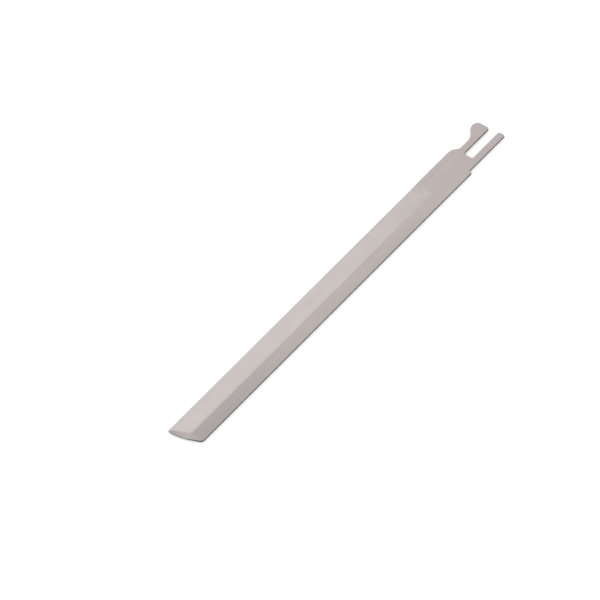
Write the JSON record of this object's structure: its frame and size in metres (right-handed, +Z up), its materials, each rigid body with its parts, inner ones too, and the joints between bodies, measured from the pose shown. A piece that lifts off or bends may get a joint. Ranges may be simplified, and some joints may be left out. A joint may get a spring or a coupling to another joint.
{
  "type": "straight knife blade for a cloth cutting machine",
  "caption": "Long flat straight cutter blade with a wide ground bevel along one edge, a slanted ground end and a forked, hooked tang.",
  "frame": {"origin": "centre of the bounding box in X and Y, on the plane the blade lies on", "axes": "+X along the blade from the ground end to the forked tang, +Y across it towards the cutting edge and the hook, +Z up through its thickness"},
  "size_m": [0.3204, 0.0236, 0.0012],
  "materials": {
    "blade_steel": "fine-ground tool steel, satin, bare"
  },
  "bodies": {
    "root": {"blade": "blade_steel"}
  },
  "joints": []
}
